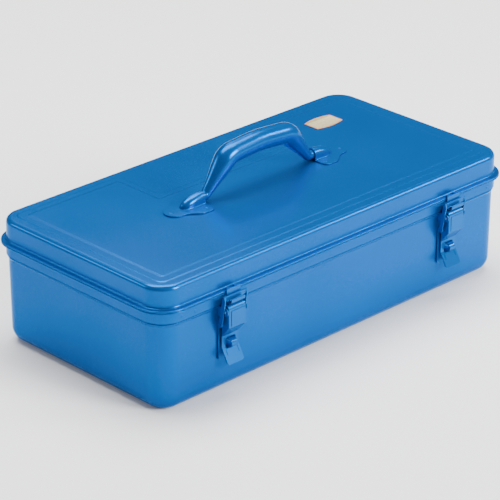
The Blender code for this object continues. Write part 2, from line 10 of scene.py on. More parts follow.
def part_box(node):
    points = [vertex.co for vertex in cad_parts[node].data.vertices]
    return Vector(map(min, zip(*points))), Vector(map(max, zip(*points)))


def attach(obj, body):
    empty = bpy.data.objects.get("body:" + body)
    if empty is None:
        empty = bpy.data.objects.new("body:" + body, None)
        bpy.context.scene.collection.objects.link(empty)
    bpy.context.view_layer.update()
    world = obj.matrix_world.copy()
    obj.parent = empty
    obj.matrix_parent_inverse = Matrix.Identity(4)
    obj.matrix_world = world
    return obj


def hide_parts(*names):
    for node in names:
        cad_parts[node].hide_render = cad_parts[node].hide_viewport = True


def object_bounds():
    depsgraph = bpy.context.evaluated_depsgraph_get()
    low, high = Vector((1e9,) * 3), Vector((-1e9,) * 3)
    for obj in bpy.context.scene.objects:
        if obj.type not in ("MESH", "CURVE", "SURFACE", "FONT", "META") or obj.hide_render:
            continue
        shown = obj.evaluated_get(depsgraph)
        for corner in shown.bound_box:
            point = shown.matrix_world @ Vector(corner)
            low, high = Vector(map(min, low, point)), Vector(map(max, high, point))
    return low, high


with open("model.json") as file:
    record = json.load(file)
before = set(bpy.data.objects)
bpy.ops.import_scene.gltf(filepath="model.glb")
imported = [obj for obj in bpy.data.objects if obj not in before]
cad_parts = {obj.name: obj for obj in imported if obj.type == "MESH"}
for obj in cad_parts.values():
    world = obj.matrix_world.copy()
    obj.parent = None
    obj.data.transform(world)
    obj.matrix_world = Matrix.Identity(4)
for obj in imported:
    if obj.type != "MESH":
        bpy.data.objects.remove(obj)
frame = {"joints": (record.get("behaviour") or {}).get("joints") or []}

MM = 0.001
CAD_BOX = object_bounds()
JOINTS = {joint["name"]: joint for joint in frame["joints"]}


def joint_place(name):
    """Where a joint of the CAD model turns, at rest."""
    return Vector(JOINTS[name]["pos_m"])


# Sizes that the CAD boxes and joints give
HEM_REACH = 4.4 * MM
HEM_THICKNESS = 1.6 * MM
PANEL_STEP = 0.45 * MM
LID_LOW, LID_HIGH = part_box("lid_shell")
LENGTH = 2 * (LID_HIGH.x - HEM_REACH)
WIDTH = 2 * (LID_HIGH.y - HEM_REACH)
HEIGHT = LID_HIGH.z - 2 * PANEL_STEP
PANEL_TOP = LID_HIGH.z
SEAT_GAP = 0.3 * MM
SIDE_GAP = 0.5 * MM
HEM_BOTTOM = LID_LOW.z
HEM_TOP = HEM_BOTTOM + HEM_THICKNESS
PARTING = HEM_BOTTOM - SEAT_GAP / 2
FLANGE_TOP = PARTING - SEAT_GAP / 2
FRONT = -WIDTH / 2
BACK = WIDTH / 2
CORNER_RADIUS = 19.5 * MM
SHEET = 0.8 * MM
HANDLE_AXIS = joint_place("handle_swing")
HINGE_AXIS = joint_place("lid_hinge")
LATCH_X = abs(joint_place("left_lever_hinge").x)
LATCH_PIN = joint_place("left_lever_hinge")
BAIL_PIVOT = joint_place("left_bail_hinge")
HINGE_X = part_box("right_hinge_pin")[0].lerp(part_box("right_hinge_pin")[1], 0.5).x

# Lid
LID_FILLET = 4.2 * MM
HEM_ROOT = 1.7 * MM
OUTER_LINE_INSET = 10.3 * MM
INNER_LINE_INSET = 17.6 * MM
RECESS_HALF_WIDTH = 72.5 * MM
RECESS_FRONT = 35 * MM
LINE_SPACING = 6.5 * MM
OUTER_LINE_CORNER = 6 * MM
INNER_LINE_CORNER = 2.4 * MM
OUTER_STEP_WIDTH = 1.2 * MM
INNER_STEP_WIDTH = 2.4 * MM
SEAM = 0.04 * MM

# Body
BODY_INSET = 1.2 * MM
BODY_DRAFT = 0.6 * MM
BASE_FILLET = 12.2 * MM
BAND_PROUD = 0.6 * MM
BAND_BEND = 1.2 * MM
GROOVE = -1.25 * MM
GROOVE_LEDGE = -0.25 * MM
BAND_WELDS = (156 * MM, 169.5 * MM)
BAND_WELD_HEIGHT = 3.6 * MM
BAND_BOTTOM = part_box("rim_frame")[0].z
OGEE_BOTTOM = BAND_BOTTOM - 3.4 * MM
UPSTAND_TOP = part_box("body_shell")[1].z

# Handle and brackets
GRIP_RADIUS = 8.8 * MM
LEG_RADIUS = 4.2 * MM
STUB_RADIUS = 3.9 * MM
HANDLE_RISE = 30.05 * MM
LEG_FOOT = 56.5 * MM
SHOULDER = 32.5 * MM
ARCH = 2.6 * MM
FOOT_BEND = 5 * MM
SHOULDER_BEND = 14 * MM
ARCH_BEND = 120 * MM
RUN_SPACING = 1.6 * MM
HANDLE_SHEET = 1.2 * MM
HANDLE_SEAM = 1.0 * MM
STUB_END = 66 * MM
BRACKET_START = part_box("right_handle_bracket")[0].x
BRACKET_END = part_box("right_handle_bracket")[1].x
BRACKET_HALF_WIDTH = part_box("right_handle_bracket")[1].y
BRACKET_LOW = PANEL_TOP + SEAT_GAP
BRACKET_SHEET = 0.8 * MM
DOME_END = 82.5 * MM
DOME_RADIUS = STUB_RADIUS + SEAT_GAP + BRACKET_SHEET
DOME_TAPER_START = 70 * MM
DOME_FLARE = 0.10
DOME_ROOT = 1.1 * MM
FLANGE_CORNER = 5 * MM
FLANGE_WIDE_END = 72 * MM
FLANGE_WAIST = 88 * MM
LOBE_RADIUS = 9 * MM
EDGE_EASE = 0.25 * MM
BRACKET_WELDS = ((66 * MM, 11.3 * MM), (66 * MM, -11.3 * MM), (93.7 * MM, 0))

# Lid hinges
HINGE_SHEET = 1.0 * MM
HINGE_LENGTH = 44 * MM
HINGE_ROLL = 2.3 * MM
HINGE_PIN_RADIUS = 1.5 * MM
KNUCKLES = 5

# Latches
PIN_YZ = (LATCH_PIN.y, LATCH_PIN.z)
PIVOT_YZ = (BAIL_PIVOT.y, BAIL_PIVOT.z)
PIN_RADIUS = 1.5 * MM
LEVER_HALF_WIDTH = 8.7 * MM
LEVER_SHEET = 1.2 * MM
CURL_RADIUS = 3.4 * MM
HOOD_FRONT = LATCH_PIN.y - 2.3 * MM
HOOD_LOW = LATCH_PIN.z - 12.8 * MM
CURL_YZ = (HOOD_FRONT + CURL_RADIUS, LATCH_PIN.z + 1.2 * MM)
LEVER_PLATE = FRONT - 1.5 * MM
PLATE_FOOT = Vector((LEVER_PLATE, LATCH_PIN.z - 32.3 * MM))
TAB_TIP = Vector((LEVER_PLATE - 6.9 * MM, LATCH_PIN.z - 44.4 * MM))
TAB_CORNER = 2.2 * MM
EAR_INNER = 9.2 * MM
EAR_OUTER = 10.2 * MM
BAIL_INNER = 10.6 * MM
BAIL_OUTER = 11.8 * MM
BAIL_SHEET = 1.2 * MM
BAIL_DEPTH = 3.0 * MM
BAIL_STUB_RADIUS = 1.2 * MM
CROSS_TOP = PARTING - 1.2 * MM
CROSS_HEIGHT = 3.6 * MM
CROSS_MIDDLE = -101.25 * MM
BASE_LOW, BASE_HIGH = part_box("left_latch_base")
BASE_HALF_WIDTH = (BASE_HIGH.x - BASE_LOW.x) / 2
BASE_BACK = BASE_HIGH.y
BASE_SHEET = 1.0 * MM
EAR_RADIUS = 3.3 * MM
EAR_HEIGHT = 8.5 * MM
EYE_YZ = (FRONT - 3.5 * MM, PARTING - 43.3 * MM)
EYE_RADIUS = 3.6 * MM
EYE_HALF_WIDTH = 3.0 * MM
SLOT_HALF_WIDTH = 5 * MM
SLOT_HALF_HEIGHT = EYE_RADIUS + 0.9 * MM
KEEPER_STRAP = 1.1 * MM
KEEPER_HOOK = 4.1 * MM
KEEPER_HALF_WIDTH = 7 * MM
KEEPER_FLOOR = PARTING - 7.6 * MM
KEEPER_LIP = PARTING - 3.8 * MM
CLAW_OFFSET = 4.0 * MM
CLAW_HALF_WIDTH = 1.6 * MM

# Label
LABEL_BOW = 2.6 * MM
LABEL_RIM_WIDTH = 0.9 * MM
LABEL_EDGE = 0.05 * MM
LABEL_STRIPE_WIDTH = 4.2 * MM

# How finely curves are cut
CORNER_STEPS = 20
FINE = 12
BRACKET_STATIONS = 60
DOME_STEPS = 28

# Grain of the finishes, in features per metre
FLAKE_SCALE = 2600
DRIFT_SCALE = 9
PEEL_SCALE = 420
SCRATCH_SCALE = 1500
MOTTLE_SCALE = 500
FLAKE_SHARE = 0.35
ROUGHNESS_SPREAD = 0.03


# ---- materials ------------------------------------------------------------------------------------

def new_material(name):
    """A node material, with its nodes, links and shader."""
    made = bpy.data.materials.new(name)
    made.use_nodes = True
    nodes = made.node_tree.nodes
    return made, nodes, made.node_tree.links, nodes["Principled BSDF"]


def noise(nodes, links, coords, scale, detail):
    """A noise pattern fixed to the object."""
    made = nodes.new("ShaderNodeTexNoise")
    made.inputs["Scale"].default_value = scale
    made.inputs["Detail"].default_value = detail
    links.new(coords.outputs["Object"], made.inputs["Vector"])
    return made


def ramp(nodes, links, source, low, high):
    """A colour ramp fed by a value."""
    made = nodes.new("ShaderNodeValToRGB")
    made.color_ramp.elements[0].position = low[0]
    made.color_ramp.elements[0].color = low[1]
    made.color_ramp.elements[1].position = high[0]
    made.color_ramp.elements[1].color = high[1]
    links.new(source, made.inputs["Fac"])
    return made


def roughen(nodes, links, pattern, shader, strength, distance):
    """Feeds a pattern to a shader as a fine bump."""
    bump = nodes.new("ShaderNodeBump")
    bump.inputs["Strength"].default_value = strength
    bump.inputs["Distance"].default_value = distance
    links.new(pattern.outputs["Fac"], bump.inputs["Height"])
    links.new(bump.outputs["Normal"], shader.inputs["Normal"])


def enamel(name, deep, light, metallic, roughness, coat):
    """Satin metallic paint: fine flake, a slow drift in tone, and a sprayed coat's faint orange peel."""
    made, nodes, links, shader = new_material(name)
    coords = nodes.new("ShaderNodeTexCoord")
    flake = noise(nodes, links, coords, FLAKE_SCALE, 2)
    drift = noise(nodes, links, coords, DRIFT_SCALE, 3)
    mixed = nodes.new("ShaderNodeMath")
    mixed.operation = "MULTIPLY_ADD"
    links.new(flake.outputs["Fac"], mixed.inputs[0])
    mixed.inputs[1].default_value = FLAKE_SHARE
    slow = nodes.new("ShaderNodeMath")
    slow.operation = "MULTIPLY"
    links.new(drift.outputs["Fac"], slow.inputs[0])
    slow.inputs[1].default_value = 1 - FLAKE_SHARE
    links.new(slow.outputs["Value"], mixed.inputs[2])
    tone = ramp(nodes, links, mixed.outputs["Value"], (0.35, deep), (0.65, light))
    links.new(tone.outputs["Color"], shader.inputs["Base Color"])
    rough = nodes.new("ShaderNodeMapRange")
    rough.inputs["From Min"].default_value = 0.3
    rough.inputs["From Max"].default_value = 0.7
    rough.inputs["To Min"].default_value = roughness - ROUGHNESS_SPREAD
    rough.inputs["To Max"].default_value = roughness + ROUGHNESS_SPREAD
    links.new(flake.outputs["Fac"], rough.inputs["Value"])
    links.new(rough.outputs["Result"], shader.inputs["Roughness"])
    peel = noise(nodes, links, coords, PEEL_SCALE, 2)
    roughen(nodes, links, peel, shader, 0.04, 0.05 * MM)
    shader.inputs["Metallic"].default_value = metallic
    shader.inputs["Coat Weight"].default_value = coat
    shader.inputs["Coat Roughness"].default_value = 0.2
    shader.inputs["Specular IOR Level"].default_value = 0.1
    shader.inputs["Specular Tint"].default_value = (0.35, 0.75, 1, 1)
    return made


def plated(name, deep, light, roughness):
    """Dull plated steel with short fine scratches."""
    made, nodes, links, shader = new_material(name)
    coords = nodes.new("ShaderNodeTexCoord")
    grain = noise(nodes, links, coords, SCRATCH_SCALE, 4)
    tone = ramp(nodes, links, grain.outputs["Fac"], (0.3, deep), (0.7, light))
    links.new(tone.outputs["Color"], shader.inputs["Base Color"])
    roughen(nodes, links, grain, shader, 0.08, 0.1 * MM)
    shader.inputs["Roughness"].default_value = roughness
    shader.inputs["Metallic"].default_value = 0.9
    return made


def foil(name, deep, light, line_colour=None):
    """Printed foil: a soft mottled tone, with faint ruled lines where a colour for them is given."""
    made, nodes, links, shader = new_material(name)
    coords = nodes.new("ShaderNodeTexCoord")
    mottle = noise(nodes, links, coords, MOTTLE_SCALE, 3)
    tone = ramp(nodes, links, mottle.outputs["Fac"], (0.35, deep), (0.65, light))
    colour = tone.outputs["Color"]
    if line_colour:
        wave = nodes.new("ShaderNodeTexWave")
        wave.bands_direction = "Y"
        wave.inputs["Scale"].default_value = 130
        wave.inputs["Distortion"].default_value = 1.2
        wave.inputs["Detail Scale"].default_value = 900
        links.new(coords.outputs["Object"], wave.inputs["Vector"])
        mask = ramp(nodes, links, wave.outputs["Fac"], (0.72, (0, 0, 0, 1)), (0.95, (0.4, 0.4, 0.4, 1)))
        mix = nodes.new("ShaderNodeMixRGB")
        links.new(mask.outputs["Color"], mix.inputs["Fac"])
        links.new(colour, mix.inputs["Color1"])
        mix.inputs["Color2"].default_value = line_colour
        colour = mix.outputs["Color"]
    links.new(colour, shader.inputs["Base Color"])
    shader.inputs["Roughness"].default_value = 0.42
    shader.inputs["Metallic"].default_value = 0.15
    return made


BLUE = enamel("blue_enamel_looks", (0, 0.080, 0.310, 1), (0, 0.092, 0.355, 1), 0.55, 0.25, 0.015)
LATCH_BLUE = enamel("latch_enamel_looks", (0, 0.090, 0.330, 1), (0, 0.104, 0.375, 1), 0.55, 0.24, 0.05)
STEEL = plated("pin_steel_looks", (0.30, 0.34, 0.38, 1), (0.55, 0.60, 0.64, 1), 0.3)
LABEL_FIELD = foil("label_field", (0.50, 0.42, 0.24, 1), (0.60, 0.52, 0.31, 1), (0.30, 0.27, 0.15, 1))
LABEL_RIM = foil("label_rim", (0.50, 0.20, 0.08, 1), (0.60, 0.27, 0.12, 1))
LABEL_STRIPE = foil("label_stripe", (0.24, 0.24, 0.11, 1), (0.32, 0.31, 0.16, 1))


# ---- plane geometry -------------------------------------------------------------------------------

def arc(centre, radius, start, end, steps=FINE):
    """Points on a circle from one angle to another, in degrees."""
    angles = [math.radians(start + (end - start) * i / steps) for i in range(steps + 1)]
    return [(centre[0] + radius * math.cos(a), centre[1] + radius * math.sin(a)) for a in angles]


def circle(centre, radius, steps=32):
    return arc(centre, radius, 0, 360 - 360 / steps, steps - 1)


def parallel(path, distance):
    """The open path moved sideways to its left, with mitred corners."""
    moved = []
    for i, point in enumerate(path):
        normals = []
        for a, b in ((i - 1, i), (i, i + 1)):
            if a >= 0 and b < len(path):
                dx = path[b][0] - path[a][0]
                dy = path[b][1] - path[a][1]
                length = math.hypot(dx, dy)
                normals.append((-dy / length, dx / length))
        nx = sum(n[0] for n in normals) / len(normals)
        ny = sum(n[1] for n in normals) / len(normals)
        square = nx * nx + ny * ny
        moved.append((point[0] + distance * nx / square, point[1] + distance * ny / square))
    return moved


def strip(path, thickness):
    """The outline of a sheet whose middle follows the path."""
    return parallel(path, thickness / 2) + parallel(path, -thickness / 2)[::-1]


def fillet(before, corner, after, radius, steps=8):
    """An arc that rounds one corner of a path or outline."""
    here = Vector(corner)
    back = (Vector(before) - here).normalized()
    ahead = (Vector(after) - here).normalized()
    half = back.angle(ahead) / 2
    centre = here + (back + ahead).normalized() * radius / math.sin(half)
    start = here + back * radius / math.tan(half) - centre
    turn = -start.angle_signed(here + ahead * radius / math.tan(half) - centre)
    points = []
    for k in range(steps + 1):
        a = turn * k / steps
        x = start.x * math.cos(a) - start.y * math.sin(a)
        y = start.x * math.sin(a) + start.y * math.cos(a)
        points.append((centre.x + x, centre.y + y))
    return points


def rounded(corners, radii, steps=8):
    """A closed outline with each corner replaced by an arc."""
    count = len(corners)
    outline = []
    for i, corner in enumerate(corners):
        outline += fillet(corners[i - 1], corner, corners[(i + 1) % count], radii[i], steps)
    return outline


def bent(corners, radii, steps=8):
    """An open path with its inner corners replaced by arcs."""
    path = [corners[0]]
    for i, radius in enumerate(radii, start=1):
        path += fillet(corners[i - 1], corners[i], corners[i + 1], radius, steps)
    return path + [corners[-1]]


def box_ring(offset, z):
    """The box's plan outline, moved outwards by an offset, at one height."""
    radius = CORNER_RADIUS + offset
    ring = []
    for corner, (sx, sy) in enumerate(((1, 1), (-1, 1), (-1, -1), (1, -1))):
        centre = (sx * (LENGTH / 2 - CORNER_RADIUS), sy * (WIDTH / 2 - CORNER_RADIUS))
        ring += [(x, y, z) for x, y in arc(centre, radius, 90 * corner, 90 * corner + 90, CORNER_STEPS)]
    return ring


# ---- meshes ---------------------------------------------------------------------------------------

def join_rows(mesh, rows, closed=False):
    """Quads between rows of equal count."""
    count = len(rows[0])
    pairs = list(zip(rows, rows[1:]))
    if closed:
        pairs.append((rows[-1], rows[0]))
    for low, high in pairs:
        for i in range(count):
            j = (i + 1) % count
            mesh.faces.new((low[i], low[j], high[j], high[i]))


def add_rows(mesh, rings):
    """The vertices of each ring, without faces."""
    return [[mesh.verts.new(point) for point in ring] for ring in rings]


def loft(rings, closed=False, mesh=None):
    """A solid through rings of equal count: capped at both ends, or joined end to end."""
    mesh = mesh or bmesh.new()
    rows = add_rows(mesh, rings)
    if not closed:
        mesh.faces.new(rows[0][::-1])
        mesh.faces.new(rows[-1])
    join_rows(mesh, rows, closed)
    return mesh


def along_x(outline, low, high):
    """A solid with an outline in the YZ plane, from one X to another."""
    return loft([[(x, y, z) for y, z in outline] for x in (low, high)])


def upright(outline, low, high):
    """A solid with an outline in the XY plane, from one height to another."""
    return loft([[(x, y, z) for x, y in outline] for z in (low, high)])


def fill_flat(mesh, outer, holes=()):
    """Triangles over the flat region inside one row of points and outside others."""
    loops = [outer] + list(holes)
    points = [vert for loop in loops for vert in loop]
    for triangle in tessellate_polygon([[vert.co for vert in loop] for loop in loops]):
        mesh.faces.new([points[i] for i in triangle])


def dimple_ring(mesh, centre, radius, depth, axis):
    """A spot-weld mark: a shallow round swelling with a low middle, as a closed lens on the surface."""
    profile = [(1.0, -0.4), (0.92, 0.35), (0.75, 0.8), (0.55, 1.0), (0.3, 0.85), (0.08, 0.8)]
    rings = []
    for share, height in profile:
        ring = []
        for u, v in circle((0, 0), radius * share, 24):
            rise = depth * height
            point = (u, -rise, v) if axis == "y" else (u, v, rise)
            ring.append(Vector(centre) + Vector(point))
        rings.append(ring)
    loft(rings, mesh=mesh)


def to_object(name, mesh, shift=0.0):
    """A smooth-shaded object from a mesh, moved along X."""
    bmesh.ops.recalc_face_normals(mesh, faces=mesh.faces)
    bmesh.ops.translate(mesh, verts=mesh.verts, vec=(shift, 0, 0))
    data = bpy.data.meshes.new(name)
    mesh.to_mesh(data)
    mesh.free()
    data.shade_smooth()
    made = bpy.data.objects.new(name, data)
    bpy.context.scene.collection.objects.link(made)
    return made


def bevel(made, width, segments=3):
    """Rounds the sharp edges of a pressed or cut piece."""
    rounding = made.modifiers.new("edge_rounding", "BEVEL")
    rounding.width = width
    rounding.segments = segments
    rounding.limit_method = "ANGLE"
    rounding.angle_limit = math.radians(38)
    rounding.harden_normals = True
    rounding.miter_outer = "MITER_ARC"


def weighted(made, sharp=42):
    """Keeps flat faces flat beside their curves."""
    made.data.set_sharp_from_angle(angle=math.radians(sharp))
    normals = made.modifiers.new("flat_faces", "WEIGHTED_NORMAL")
    normals.keep_sharp = True
    normals.weight = 80


def cut(made, mesh, shift=0.0, operation="DIFFERENCE"):
    """Cuts a hidden helper solid from a piece, or joins it, and applies the result."""
    helper = to_object("helper", mesh, shift)
    boolean = made.modifiers.new("shape", "BOOLEAN")
    boolean.operation = operation
    boolean.solver = "EXACT"
    boolean.object = helper
    graph = bpy.context.evaluated_depsgraph_get()
    data = bpy.data.meshes.new_from_object(made.evaluated_get(graph))
    made.modifiers.clear()
    made.data = data
    bpy.data.objects.remove(helper, do_unlink=True)


def finish_piece(made, body, node, look):
    """Gives a piece its material and its body, and hides the CAD node that it stands for."""
    if not made.data.materials:
        made.data.materials.append(look)
    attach(made, body)
    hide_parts(node)
    return made


# ---- body and rim ---------------------------------------------------------------------------------

def body_skin():
    """The body's outer section: base fillet, wall, ogee, a groove under the band, and the upstand."""
    foot = -BODY_INSET - BODY_DRAFT
    behind = BAND_PROUD - SHEET - SEAT_GAP
    neck = -SHEET - SIDE_GAP
    skin = arc((foot - BASE_FILLET, BASE_FILLET), BASE_FILLET, -90, 0, 18)
    wall = [(foot, BASE_FILLET + MM), (-BODY_INSET, OGEE_BOTTOM)]
    wall += [(GROOVE_LEDGE, BAND_BOTTOM - 1.9 * MM), (GROOVE_LEDGE, BAND_BOTTOM - 1.2 * MM)]
    wall += [(GROOVE, BAND_BOTTOM - 0.7 * MM), (GROOVE, BAND_BOTTOM + 0.3 * MM)]
    wall += [(behind, BAND_BOTTOM + 1 * MM), (behind, BAND_BOTTOM + 2 * MM)]
    skin += bent(wall, [2 * MM, 0.4 * MM, 0.2 * MM, 0.15 * MM, 0.2 * MM, 0.2 * MM], 4)[1:]
    skin += [(behind, FLANGE_TOP - 2.4 * SHEET), (neck, FLANGE_TOP), (neck, UPSTAND_TOP)]
    return skin


def build_body():
    """The drawn tray."""
    skin = body_skin()
    lining = parallel(skin, SHEET)
    rings = [box_ring(offset, z) for offset, z in skin]
    rings += [box_ring(offset, min(z, UPSTAND_TOP)) for offset, z in reversed(lining)]
    made = to_object("body_pressing", loft(rings))
    weighted(made, 50)
    finish_piece(made, "body", "body_shell", BLUE)


def build_rim():
    """The spot-welded band round the top of the tray, with its outward flange."""
    bend = BAND_BEND
    middle = BAND_PROUD - SHEET / 2
    tip = PARTING - SEAM - SHEET / 2
    path = [(middle, BAND_BOTTOM)]
    path += arc((middle + bend, tip - bend), bend, 180, 90, 8)
    path += [(HEM_REACH - SHEET / 2, tip)]
    inner = parallel(path, -SHEET / 2)
    outer = parallel(path, SHEET / 2)
    nose = arc(path[-1], SHEET / 2, 90, -90, 6)[1:-1]
    section = outer + nose + inner[::-1]
    mesh = loft([box_ring(offset, z) for offset, z in section], closed=True)
    face = FRONT - BAND_PROUD
    for x in BAND_WELDS:
        for side in (-1, 1):
            dimple_ring(mesh, (side * x, face, BAND_BOTTOM + BAND_WELD_HEIGHT), 1.4 * MM, 0.25 * MM, "y")
    made = to_object("rim_band", mesh)
    weighted(made, 55)
    finish_piece(made, "body", "rim_frame", BLUE)


# ---- lid ------------------------------------------------------------------------------------------

def panel_outline(inset, growth, out, radius):
    """The outline of a raised panel, moved outwards, which steps round the recess at the back."""
    x = LENGTH / 2 - inset + out
    y = WIDTH / 2 - inset + out
    recess_x = RECESS_HALF_WIDTH + growth - out
    recess_y = RECESS_FRONT - growth + out
    corners = [(-x, -y), (x, -y), (x, y), (recess_x, y)]
    corners += [(recess_x, recess_y), (-recess_x, recess_y), (-recess_x, y), (-x, y)]
    radii = [radius + out] * 8
    radii[4] = radii[5] = radius - out
    return rounded(corners, radii, 8)


def pressed_step(mesh, line, low, spread):
    """The rows of an S-shaped step up from one level to the next, along a panel line."""
    inset, growth, radius = line
    rings = []
    steps = 8
    for k in range(steps + 1):
        t = k / steps
        out = spread * (0.5 - t)
        height = low + PANEL_STEP * (t * t * (3 - 2 * t))
        rings.append([(x, y, height) for x, y in panel_outline(inset, growth, out, radius)])
    rows = add_rows(mesh, rings)
    join_rows(mesh, rows)
    return rows


def pressed_top(mesh, edge_row, level):
    """The lid's flat border, its two steps and the panel, from the row of points at its edge."""
    lower = pressed_step(mesh, (OUTER_LINE_INSET, 0, OUTER_LINE_CORNER), level, OUTER_STEP_WIDTH)
    inner_line = (INNER_LINE_INSET, LINE_SPACING, INNER_LINE_CORNER)
    upper = pressed_step(mesh, inner_line, level + PANEL_STEP, INNER_STEP_WIDTH)
    fill_flat(mesh, edge_row, [lower[0]])
    fill_flat(mesh, lower[-1], [upper[0]])
    fill_flat(mesh, upper[-1])


def build_lid():
    """The lid as a closed sheet: top, wall, hem and lining, with the pressed steps on both faces."""
    corner = (-LID_FILLET, HEIGHT - LID_FILLET)
    outer = arc(corner, LID_FILLET, 90, 0, 14)
    outer += arc((HEM_ROOT, HEM_TOP + HEM_ROOT), HEM_ROOT, 180, 270, 8)
    low = PARTING + SEAM
    edge = (HEM_TOP - low) / 2
    outer += arc((HEM_REACH - edge, low + edge), edge, 90, -90, 12)
    chamfer = 0.5 * MM
    under = [(-SHEET + chamfer, low), (-SHEET, low + chamfer)]
    under += arc(corner, LID_FILLET - SHEET, 0, 90, 8)
    mesh = bmesh.new()
    rows = add_rows(mesh, [box_ring(offset, z) for offset, z in outer + under])
    join_rows(mesh, rows)
    pressed_top(mesh, rows[0], HEIGHT)
    pressed_top(mesh, rows[-1], HEIGHT - SHEET)
    made = to_object("lid_pressing", mesh)
    weighted(made, 50)
    finish_piece(made, "lid", "lid_shell", BLUE)


def label_ring(low, high, inset, z):
    """The label's outline at one height: straight ends, and long sides bowed outwards."""
    centre = low.lerp(high, 0.5)
    half_x = (high.x - low.x) / 2
    half_y = (high.y - low.y) / 2
    points = []
    for direction in (-1, 1):
        for i in range(17):
            t = -1 + i / 8
            y = half_y - LABEL_BOW * t * t - inset
            points.append((centre.x - direction * (half_x - inset) * t, centre.y + direction * y, z))
    return points


def build_label():
    """The foil label: a raised rim band, a ruled field and a stripe along its back edge."""
    low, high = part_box("label")
    foot = high.z - LABEL_EDGE
    heights = [(0, low.z), (0, foot), (LABEL_EDGE, high.z)]
    heights += [(LABEL_RIM_WIDTH, high.z), (LABEL_RIM_WIDTH + 0.1 * MM, foot)]
    mesh = bmesh.new()
    rows = add_rows(mesh, [label_ring(low, high, inset, z) for inset, z in heights])
    join_rows(mesh, rows)
    mesh.faces.new(rows[0][::-1])
    for face in mesh.faces:
        face.material_index = 1
    field = mesh.faces.new(rows[-1])
    stripe_y = high.y - LABEL_STRIPE_WIDTH
    geometry = list(field.verts) + list(field.edges) + [field]
    bmesh.ops.bisect_plane(mesh, geom=geometry, plane_co=(0, stripe_y, 0), plane_no=(0, 1, 0))
    for face in mesh.faces:
        if face.material_index == 0 and face.calc_center_median().y > stripe_y:
            face.material_index = 2
    made = to_object("label_foil", mesh)
    made.data.set_sharp_from_angle(angle=math.radians(30))
    for look in (LABEL_FIELD, LABEL_RIM, LABEL_STRIPE):
        made.data.materials.append(look)
    finish_piece(made, "lid", "label", LABEL_FIELD)


# ---- handle and brackets --------------------------------------------------------------------------

def ease(share):
    """A smooth step from 0 to 1."""
    share = min(1, max(0, share))
    return share * share * (3 - 2 * share)


def tube_radius(x, rise):
    """The grip's radius at the top, easing down the legs to the stubs."""
    if abs(x) > LEG_FOOT + 1.5 * MM:
        return STUB_RADIUS
    share = min(1, max(0, rise / (HANDLE_RISE - ARCH - 3 * MM)))
    return LEG_RADIUS + (GRIP_RADIUS - LEG_RADIUS) * (0.35 * share + 0.65 * ease(share))


def handle_path():
    """Closely spaced points along the handle's middle line in the XZ plane."""
    foot = HANDLE_AXIS.z
    top = foot + HANDLE_RISE
    corners = [(-STUB_END, foot), (-LEG_FOOT, foot), (-SHOULDER, top - ARCH), (0, top)]
    corners += [(-x, z) for x, z in corners[2::-1]]
    path = bent(corners, [FOOT_BEND, SHOULDER_BEND, ARCH_BEND, SHOULDER_BEND, FOOT_BEND], 16)
    dense = [path[0]]
    for a, b in zip(path, path[1:]):
        parts = max(1, round(math.dist(a, b) / RUN_SPACING))
        for k in range(1, parts + 1):
            dense.append((a[0] + (b[0] - a[0]) * k / parts, a[1] + (b[1] - a[1]) * k / parts))
    return dense


def tube_section(radius):
    """The rolled sheet's section, open at the seam below, with rounded sheet edges."""
    half = math.degrees(HANDLE_SEAM / 2 / radius)
    lip = HANDLE_SHEET / 2
    middle = radius - lip
    end = math.radians(270 - half)
    start = math.radians(-90 + half)
    section = arc((0, 0), radius, -90 + half, 270 - half, 48)
    turn = (middle * math.cos(end), middle * math.sin(end))
    section += arc(turn, lip, 270 - half, 450 - half, 5)[1:-1]
    section += arc((0, 0), radius - HANDLE_SHEET, 270 - half, -90 + half, 32)
    turn = (middle * math.cos(start), middle * math.sin(start))
    section += arc(turn, lip, 90 + half, 270 + half, 5)[1:-1]
    return section


def build_handle():
    """The bail handle, rolled from sheet."""
    path = handle_path()
    rings = []
    for i, (x, z) in enumerate(path):
        before = path[max(i - 1, 0)]
        after = path[min(i + 1, len(path) - 1)]
        along = Vector((after[0] - before[0], 0, after[1] - before[1])).normalized()
        out = Vector((-along.z, 0, along.x))
        section = tube_section(tube_radius(x, z - HANDLE_AXIS.z))
        rings.append([Vector((x, 0, z)) + Vector((0, u, 0)) + out * v for u, v in section])
    made = to_object("handle_grip", loft(rings))
    weighted(made, 60)
    finish_piece(made, "handle", "handle", BLUE)


def bracket_edge(x):
    """Half the flange's width: wide beside the dome, waisted, then a round lobe."""
    wide = BRACKET_HALF_WIDTH
    corner_end = BRACKET_START + FLANGE_CORNER
    if x < corner_end:
        reach = corner_end - x
        return wide - FLANGE_CORNER + math.sqrt(max(0, FLANGE_CORNER ** 2 - reach ** 2))
    if x < FLANGE_WIDE_END:
        return wide
    if x < FLANGE_WAIST:
        share = (x - FLANGE_WIDE_END) / (FLANGE_WAIST - FLANGE_WIDE_END)
        return wide + (LOBE_RADIUS - wide) * ease(share)
    reach = x - (BRACKET_END - LOBE_RADIUS)
    return LOBE_RADIUS if reach < 0 else math.sqrt(max(1e-9, LOBE_RADIUS ** 2 - reach ** 2))


def dome_half(x):
    """Half the dome's width: nearly parallel from its mouth, then a round outer end."""
    share = max(0, (x - DOME_TAPER_START) / (DOME_END - DOME_TAPER_START))
    flare = 1 + DOME_FLARE * max(0, x - BRACKET_START) / (DOME_END - BRACKET_START)
    return DOME_RADIUS * math.sqrt(max(0, 1 - share ** 2.4)) * flare


def dome_rise(x):
    """The height of the dome's crown over the flange, as a share of its height at the mouth."""
    share = min(1, max(0, (x - BRACKET_START) / (DOME_END - BRACKET_START)))
    return math.sqrt(max(0, 1 - share ** 2.3))


